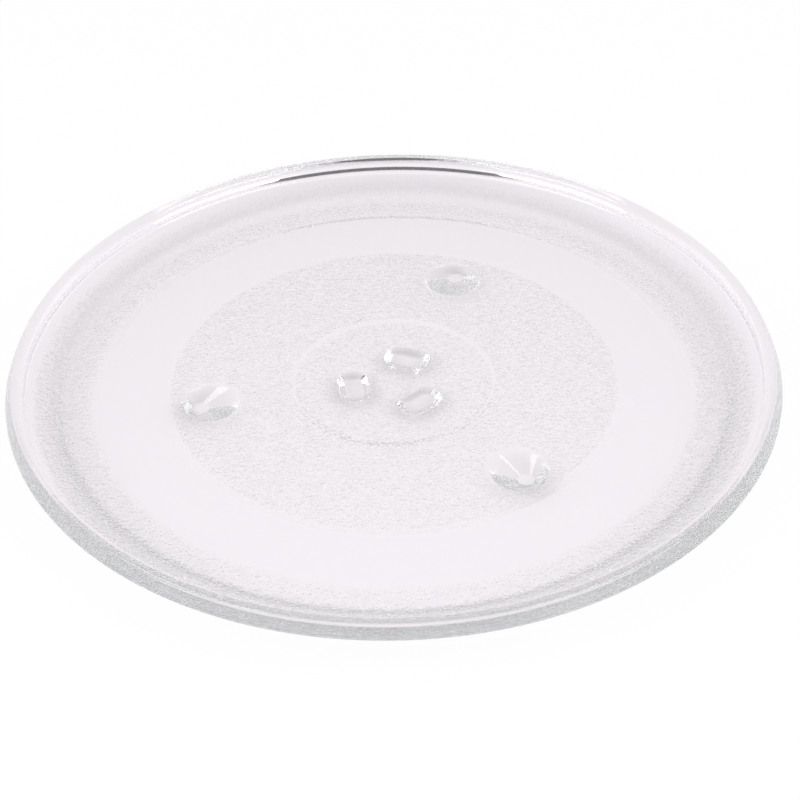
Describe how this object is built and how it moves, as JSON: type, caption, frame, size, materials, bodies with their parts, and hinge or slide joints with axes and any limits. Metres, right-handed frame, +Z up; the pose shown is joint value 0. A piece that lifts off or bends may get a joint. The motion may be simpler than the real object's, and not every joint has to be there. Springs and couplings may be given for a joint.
{
  "type": "microwave turntable plate",
  "caption": "Round clear pressed-glass turntable plate with a stippled floor, smooth roller track, upturned rim, drive lugs and feet underneath.",
  "frame": {"origin": "on the turning axis, at the level that the feet stand on", "axes": "+Z up along the turning axis, out of the dish; a foot and a drive lug lie on the ray 69.3 degrees from +X towards +Y"},
  "size_m": [0.315, 0.315, 0.0213],
  "materials": {
    "pressed_glass": "clear soda-lime glass, fire-polished, stippled underside with a smooth track"
  },
  "bodies": {
    "root": {"turntable_plate": "pressed_glass"}
  },
  "joints": []
}
